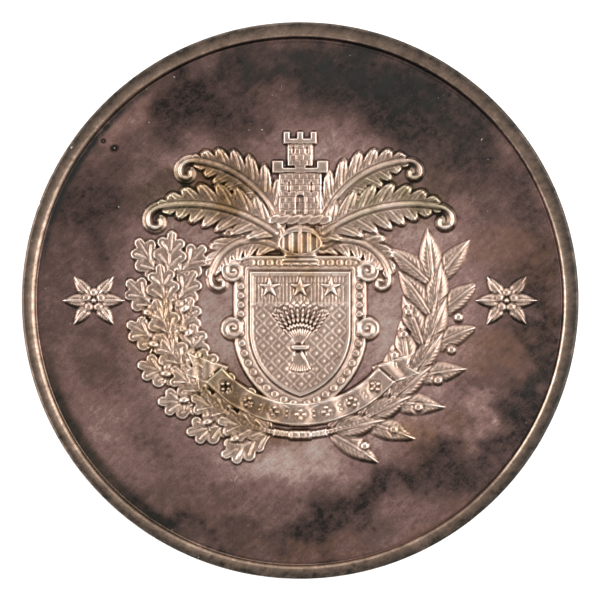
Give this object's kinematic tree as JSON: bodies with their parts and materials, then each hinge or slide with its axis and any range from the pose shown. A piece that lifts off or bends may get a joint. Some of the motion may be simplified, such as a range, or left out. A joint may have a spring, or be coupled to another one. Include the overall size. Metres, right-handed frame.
{
  "type": "commemorative medal",
  "caption": "Round struck silver table medal with a raised rim on both faces; the front carries a shield, helm and wreath in low relief, the back is plain.",
  "frame": {"origin": "centre of the disc, in the plane of the back rim that the medal rests on", "axes": "+Z out of the front face, +Y towards the top of the raised design, +X to the right of it as it is read"},
  "size_m": [0.057, 0.057, 0.0042],
  "materials": {
    "silver": "struck silver, satin, toned plum-brown"
  },
  "bodies": {
    "root": {"medal": "silver"}
  },
  "joints": []
}
